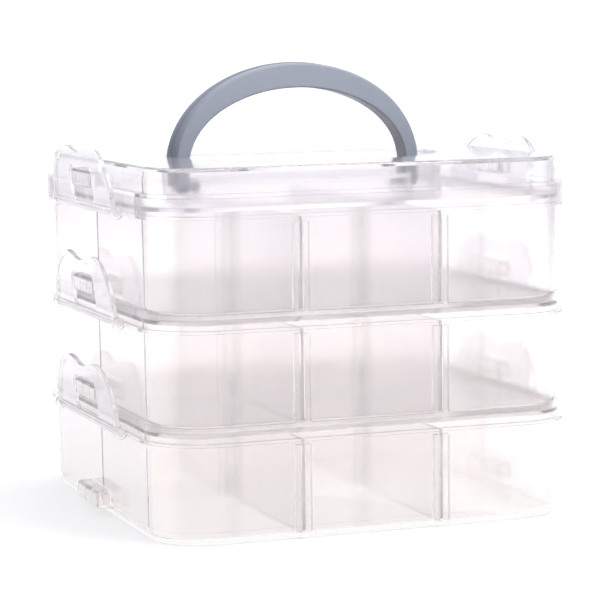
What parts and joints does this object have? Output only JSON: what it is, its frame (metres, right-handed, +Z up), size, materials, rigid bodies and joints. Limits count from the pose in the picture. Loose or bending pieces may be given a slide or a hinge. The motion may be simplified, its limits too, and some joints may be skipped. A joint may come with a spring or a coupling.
{
  "type": "sewing box with trays",
  "caption": "Clear stacking sewing box of latched trays with loose dividers, a raised lid and a folding carry handle.",
  "frame": {"origin": "under the middle of the bottom tray's foot, on the surface that the box stands on", "axes": "+Z up, -Y towards the front, +X to the right seen from the front"},
  "size_m": [0.1696, 0.1598, 0.1634],
  "materials": {
    "clear_plastic": "clear, glossy polypropylene",
    "blue_grey_plastic": "satin, slightly translucent"
  },
  "bodies": {
    "bottom_tray": {"bottom_tray": "clear_plastic"},
    "bottom_divider_1": {"bottom_divider_1": "clear_plastic"},
    "bottom_divider_2": {"bottom_divider_2": "clear_plastic"},
    "bottom_divider_3": {"bottom_divider_3": "clear_plastic"},
    "bottom_divider_4": {"bottom_divider_4": "clear_plastic"},
    "bottom_left_latch": {"bottom_left_latch": "clear_plastic"},
    "bottom_right_latch": {"bottom_right_latch": "clear_plastic"},
    "middle_tray": {"middle_tray": "clear_plastic"},
    "middle_divider_1": {"middle_divider_1": "clear_plastic"},
    "middle_divider_2": {"middle_divider_2": "clear_plastic"},
    "middle_divider_3": {"middle_divider_3": "clear_plastic"},
    "middle_divider_4": {"middle_divider_4": "clear_plastic"},
    "middle_left_latch": {"middle_left_latch": "clear_plastic"},
    "middle_right_latch": {"middle_right_latch": "clear_plastic"},
    "top_tray": {"top_tray": "clear_plastic"},
    "top_divider_1": {"top_divider_1": "clear_plastic"},
    "top_divider_2": {"top_divider_2": "clear_plastic"},
    "top_divider_3": {"top_divider_3": "clear_plastic"},
    "top_divider_4": {"top_divider_4": "clear_plastic"},
    "top_left_latch": {"top_left_latch": "clear_plastic"},
    "top_right_latch": {"top_right_latch": "clear_plastic"},
    "lid": {"lid": "clear_plastic"},
    "handle": {"handle": "blue_grey_plastic"}
  },
  "joints": [
    {"name": "middle_tray_lift", "type": "slide", "parent": "bottom_tray", "child": "middle_tray", "axis": [0, 0, 1], "range_m": [0, 0.032]},
    {"name": "top_tray_lift", "type": "slide", "parent": "middle_tray", "child": "top_tray", "axis": [0, 0, 1], "range_m": [0, 0.032]},
    {"name": "lid_lift", "type": "slide", "parent": "top_tray", "child": "lid", "axis": [0, 0, 1], "range_m": [0, 0.032]},
    {"name": "bottom_left_latch_hinge", "type": "hinge", "parent": "bottom_tray", "child": "bottom_left_latch", "pos_m": [-0.0815, 0, 0.0353], "axis": [0, -1, 0], "range_deg": [0, 112.5]},
    {"name": "bottom_right_latch_hinge", "type": "hinge", "parent": "bottom_tray", "child": "bottom_right_latch", "pos_m": [0.0815, 0, 0.0353], "axis": [0, 1, 0], "range_deg": [0, 112.5]},
    {"name": "bottom_divider_1_slide", "type": "slide", "parent": "bottom_tray", "child": "bottom_divider_1", "axis": [0, 0, 1], "range_m": [0, 0.0038]},
    {"name": "bottom_divider_2_slide", "type": "slide", "parent": "bottom_tray", "child": "bottom_divider_2", "axis": [0, 0, 1], "range_m": [0, 0.0038]},
    {"name": "bottom_divider_3_slide", "type": "slide", "parent": "bottom_tray", "child": "bottom_divider_3", "axis": [0, 0, 1], "range_m": [0, 0.0038]},
    {"name": "bottom_divider_4_slide", "type": "slide", "parent": "bottom_tray", "child": "bottom_divider_4", "axis": [0, 0, 1], "range_m": [0, 0.0038]},
    {"name": "middle_left_latch_hinge", "type": "hinge", "parent": "middle_tray", "child": "middle_left_latch", "pos_m": [-0.0815, 0, 0.0741], "axis": [0, -1, 0], "range_deg": [0, 112.5]},
    {"name": "middle_right_latch_hinge", "type": "hinge", "parent": "middle_tray", "child": "middle_right_latch", "pos_m": [0.0815, 0, 0.0741], "axis": [0, 1, 0], "range_deg": [0, 112.5]},
    {"name": "middle_divider_1_slide", "type": "slide", "parent": "middle_tray", "child": "middle_divider_1", "axis": [0, 0, 1], "range_m": [0, 0.0038]},
    {"name": "middle_divider_2_slide", "type": "slide", "parent": "middle_tray", "child": "middle_divider_2", "axis": [0, 0, 1], "range_m": [0, 0.0038]},
    {"name": "middle_divider_3_slide", "type": "slide", "parent": "middle_tray", "child": "middle_divider_3", "axis": [0, 0, 1], "range_m": [0, 0.0038]},
    {"name": "middle_divider_4_slide", "type": "slide", "parent": "middle_tray", "child": "middle_divider_4", "axis": [0, 0, 1], "range_m": [0, 0.0038]},
    {"name": "top_left_latch_hinge", "type": "hinge", "parent": "top_tray", "child": "top_left_latch", "pos_m": [-0.0815, 0, 0.1129], "axis": [0, -1, 0], "range_deg": [0, 112.5]},
    {"name": "top_right_latch_hinge", "type": "hinge", "parent": "top_tray", "child": "top_right_latch", "pos_m": [0.0815, 0, 0.1129], "axis": [0, 1, 0], "range_deg": [0, 112.5]},
    {"name": "top_divider_1_slide", "type": "slide", "parent": "top_tray", "child": "top_divider_1", "axis": [0, 0, 1], "range_m": [0, 0.0006]},
    {"name": "top_divider_2_slide", "type": "slide", "parent": "top_tray", "child": "top_divider_2", "axis": [0, 0, 1], "range_m": [0, 0.0006]},
    {"name": "top_divider_3_slide", "type": "slide", "parent": "top_tray", "child": "top_divider_3", "axis": [0, 0, 1], "range_m": [0, 0.0006]},
    {"name": "top_divider_4_slide", "type": "slide", "parent": "top_tray", "child": "top_divider_4", "axis": [0, 0, 1], "range_m": [0, 0.0006]},
    {"name": "handle_fold", "type": "hinge", "parent": "lid", "child": "handle", "pos_m": [0, 0, 0.1187], "axis": [1, 0, 0], "range_deg": [0, 90]}
  ],
  "couplings": [
    {"joint": "bottom_left_latch_hinge", "follows": "middle_tray_lift", "rad_per_m": 61.087},
    {"joint": "bottom_right_latch_hinge", "follows": "middle_tray_lift", "rad_per_m": 61.087},
    {"joint": "middle_left_latch_hinge", "follows": "top_tray_lift", "rad_per_m": 61.087},
    {"joint": "middle_right_latch_hinge", "follows": "top_tray_lift", "rad_per_m": 61.087},
    {"joint": "top_left_latch_hinge", "follows": "lid_lift", "rad_per_m": 61.087},
    {"joint": "top_right_latch_hinge", "follows": "lid_lift", "rad_per_m": 61.087}
  ]
}
